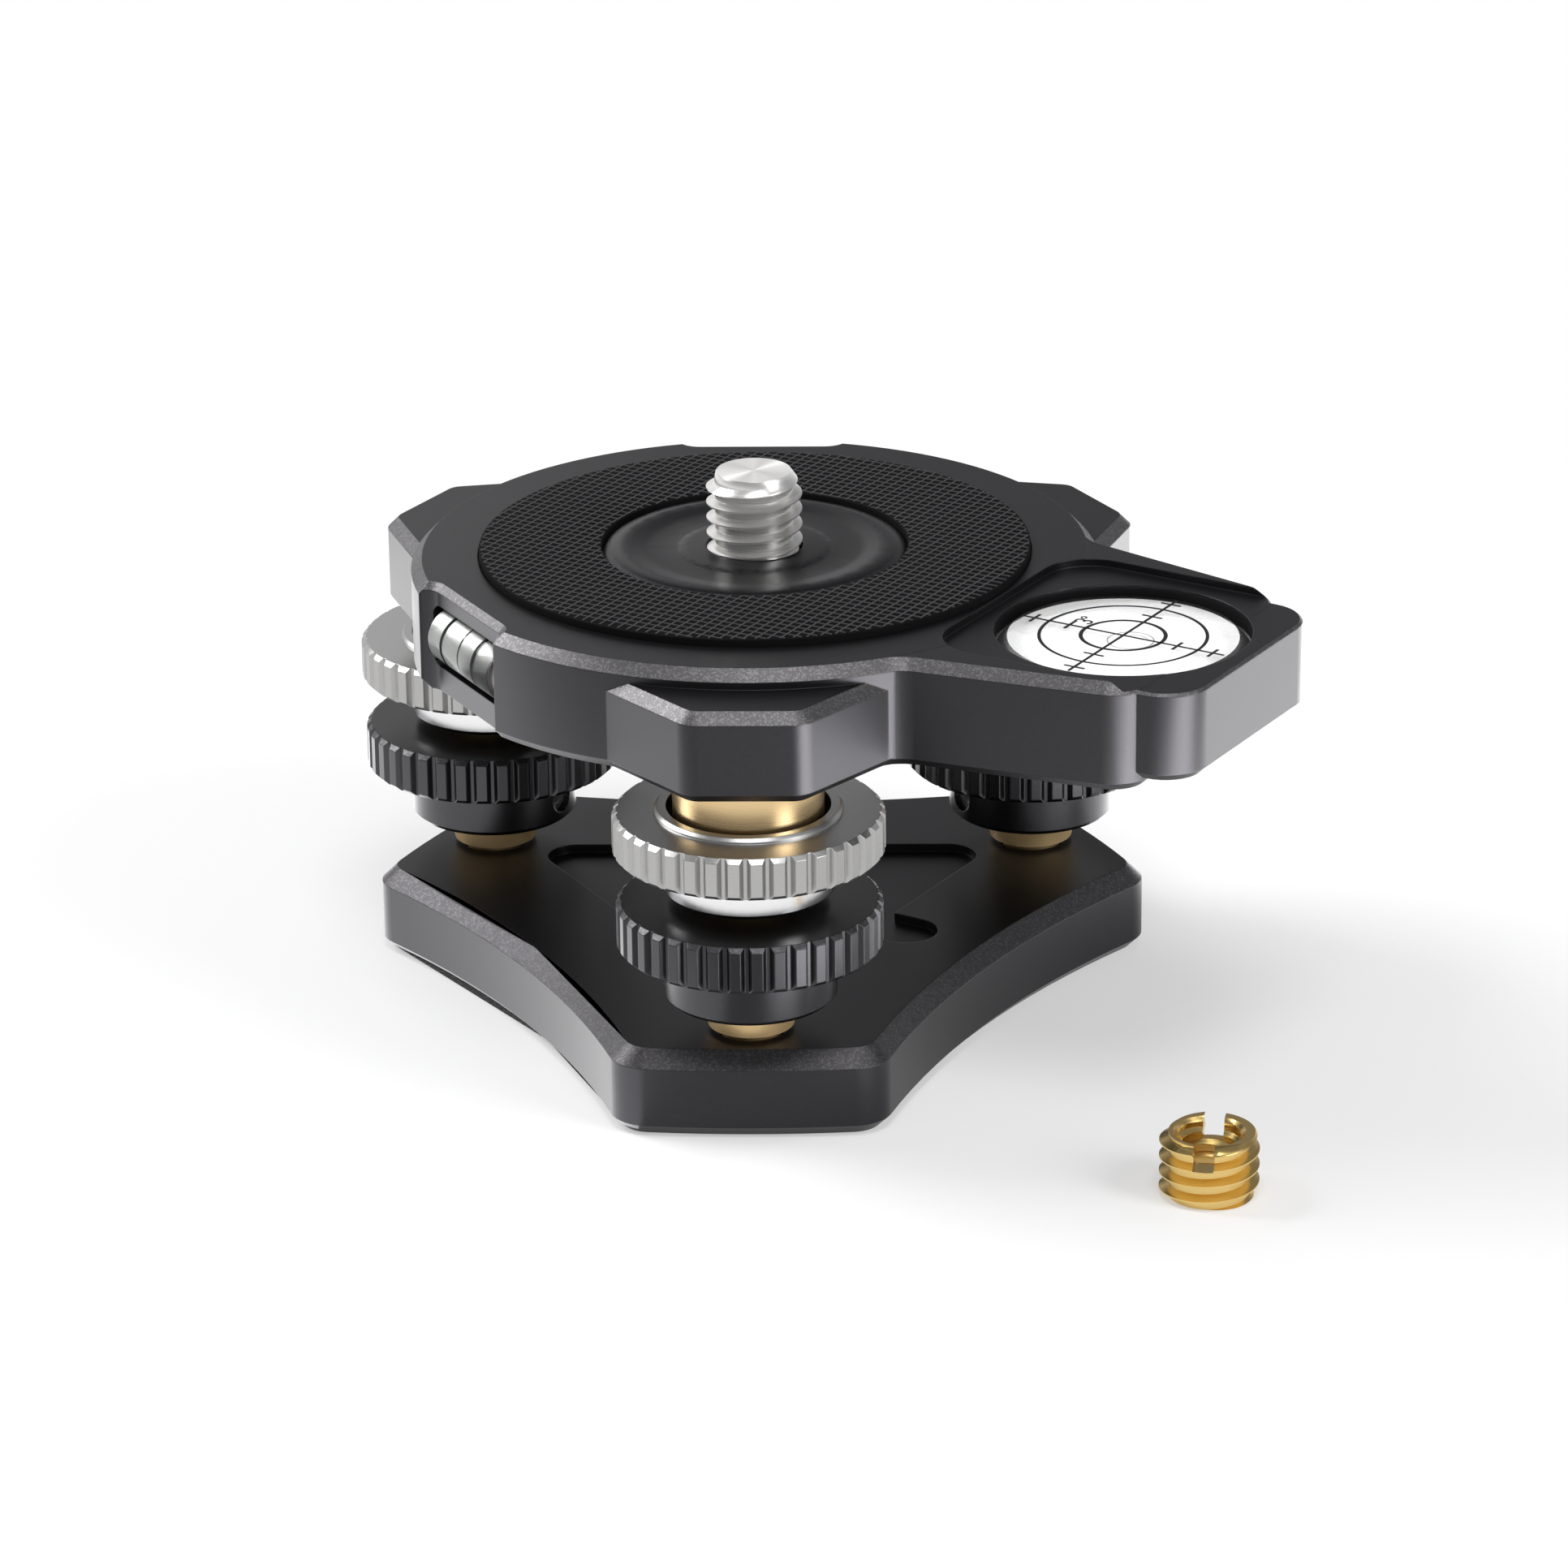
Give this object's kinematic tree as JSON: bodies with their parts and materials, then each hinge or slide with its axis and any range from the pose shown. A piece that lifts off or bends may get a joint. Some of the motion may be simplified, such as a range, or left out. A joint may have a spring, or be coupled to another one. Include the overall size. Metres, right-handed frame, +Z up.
{
  "type": "leveling base",
  "caption": "Tripod leveling base: hollow-sided base, fluted leveling wheels with lock wheels, round top plate with grip pad and threaded stud, and an arm with a bullseye level.",
  "frame": {"origin": "centre of the tripod socket at the underside of the base", "axes": "+Z up along the camera stud, front leg towards -Y, bullseye arm towards +X and -Y"},
  "size_m": [0.0944, 0.0892, 0.0546],
  "materials": {
    "black_anodised": "fine-blasted black anodising",
    "bare_aluminium": "bead-blasted, clear anodised",
    "brass": "turned",
    "bronze": "turned",
    "steel": "turned stainless",
    "rubber": "moulded grid",
    "clear": "polished",
    "white_plastic": "printed dial",
    "nylon": "natural"
  },
  "bodies": {
    "base": {"base_plate": "black_anodised", "socket_bush": "steel", "ball_liner_front": "nylon", "ball_retainer_front": "brass", "ball_retainer_right": "brass", "ball_retainer_left": "brass"},
    "tilt_link_a": {"ball_liner_right": "nylon"},
    "tilt_link_b": {"ball_liner_left": "nylon"},
    "platform": {"top_plate": "black_anodised", "grip_pad": "rubber", "stud_seat": "black_anodised", "camera_stud": "steel", "bullseye_body": "white_plastic", "bullseye_window": "clear", "tube_vial_left": "clear", "tube_vial_rear": "clear", "guide_sleeve_front": "brass", "guide_sleeve_right": "brass", "guide_sleeve_left": "brass"},
    "foot_front": {"swivel_ball_front": "bronze"},
    "adjuster_front": {"leveling_screw_front": "brass", "adjust_wheel_front": "black_anodised", "grub_screw_front": "steel", "journal_clip_front": "steel"},
    "lock_ring_front": {"lock_washer_front": "nylon"},
    "lock_wheel_front": {"lock_wheel_front": "bare_aluminium"},
    "foot_right": {"swivel_ball_right": "bronze"},
    "adjuster_right": {"leveling_screw_right": "brass", "adjust_wheel_right": "black_anodised", "grub_screw_right": "steel", "journal_clip_right": "steel"},
    "lock_ring_right": {"lock_washer_right": "nylon"},
    "lock_wheel_right": {"lock_wheel_right": "bare_aluminium"},
    "foot_left": {"swivel_ball_left": "bronze"},
    "adjuster_left": {"leveling_screw_left": "brass", "adjust_wheel_left": "black_anodised", "grub_screw_left": "steel", "journal_clip_left": "steel"},
    "lock_ring_left": {"lock_washer_left": "nylon"},
    "lock_wheel_left": {"lock_wheel_left": "bare_aluminium"},
    "adapter": {"thread_adapter": "brass"}
  },
  "joints": [
    {"name": "tilt_front", "type": "hinge", "parent": "base", "child": "tilt_link_a", "pos_m": [0, 0.016, 0.004], "axis": [-1, 0, 0], "range_deg": [0, 4.78]},
    {"name": "tilt_right", "type": "hinge", "parent": "tilt_link_a", "child": "tilt_link_b", "pos_m": [-0.01386, -0.008, 0.004], "axis": [0.5, -0.866, 0], "range_deg": [0, 4.78]},
    {"name": "tilt_left", "type": "hinge", "parent": "tilt_link_b", "child": "platform", "pos_m": [0.01386, -0.008, 0.004], "axis": [0.5, 0.866, 0], "range_deg": [0, 4.78]},
    {"name": "extend_front", "type": "slide", "parent": "platform", "child": "foot_front", "axis": [0, 0, -1], "range_m": [0, 0.00401]},
    {"name": "wheel_front", "type": "hinge", "parent": "foot_front", "child": "adjuster_front", "pos_m": [0, -0.032, 0.0173], "axis": [0, 0, -1], "range_deg": [0, 1152]},
    {"name": "lock_rise_front", "type": "slide", "parent": "platform", "child": "lock_ring_front", "axis": [0, 0, 1], "range_m": [-0.00081, 0.00221]},
    {"name": "lock_front", "type": "hinge", "parent": "lock_ring_front", "child": "lock_wheel_front", "pos_m": [0, -0.032, 0.0173], "axis": [0, 0, 1], "range_deg": [-288, 792]},
    {"name": "extend_right", "type": "slide", "parent": "platform", "child": "foot_right", "axis": [0, 0, -1], "range_m": [0, 0.00401]},
    {"name": "wheel_right", "type": "hinge", "parent": "foot_right", "child": "adjuster_right", "pos_m": [0.02771, 0.016, 0.0173], "axis": [0, 0, -1], "range_deg": [0, 1152]},
    {"name": "lock_rise_right", "type": "slide", "parent": "platform", "child": "lock_ring_right", "axis": [0, 0, 1], "range_m": [-0.00081, 0.00221]},
    {"name": "lock_right", "type": "hinge", "parent": "lock_ring_right", "child": "lock_wheel_right", "pos_m": [0.02771, 0.016, 0.0173], "axis": [0, 0, 1], "range_deg": [-288, 792]},
    {"name": "extend_left", "type": "slide", "parent": "platform", "child": "foot_left", "axis": [0, 0, -1], "range_m": [0, 0.00401]},
    {"name": "wheel_left", "type": "hinge", "parent": "foot_left", "child": "adjuster_left", "pos_m": [-0.02771, 0.016, 0.0173], "axis": [0, 0, -1], "range_deg": [0, 1152]},
    {"name": "lock_rise_left", "type": "slide", "parent": "platform", "child": "lock_ring_left", "axis": [0, 0, 1], "range_m": [-0.00081, 0.00221]},
    {"name": "lock_left", "type": "hinge", "parent": "lock_ring_left", "child": "lock_wheel_left", "pos_m": [-0.02771, 0.016, 0.0173], "axis": [0, 0, 1], "range_deg": [-288, 792]},
    {"name": "adapter_lift", "type": "slide", "parent": "base", "child": "adapter", "axis": [0, 0, 1], "range_m": [0, 0.015]}
  ],
  "couplings": [
    {"joint": "tilt_front", "follows": "wheel_front", "ratio": 0.0041447},
    {"joint": "tilt_right", "follows": "wheel_right", "ratio": 0.0041447},
    {"joint": "tilt_left", "follows": "wheel_left", "ratio": 0.0041447},
    {"joint": "extend_front", "follows": "wheel_front", "m_per_rad": 0.00019894},
    {"joint": "lock_rise_front", "follows": "lock_front", "m_per_rad": 0.00015915},
    {"joint": "extend_right", "follows": "wheel_right", "m_per_rad": 0.00019894},
    {"joint": "lock_rise_right", "follows": "lock_right", "m_per_rad": 0.00015915},
    {"joint": "extend_left", "follows": "wheel_left", "m_per_rad": 0.00019894},
    {"joint": "lock_rise_left", "follows": "lock_left", "m_per_rad": 0.00015915}
  ]
}
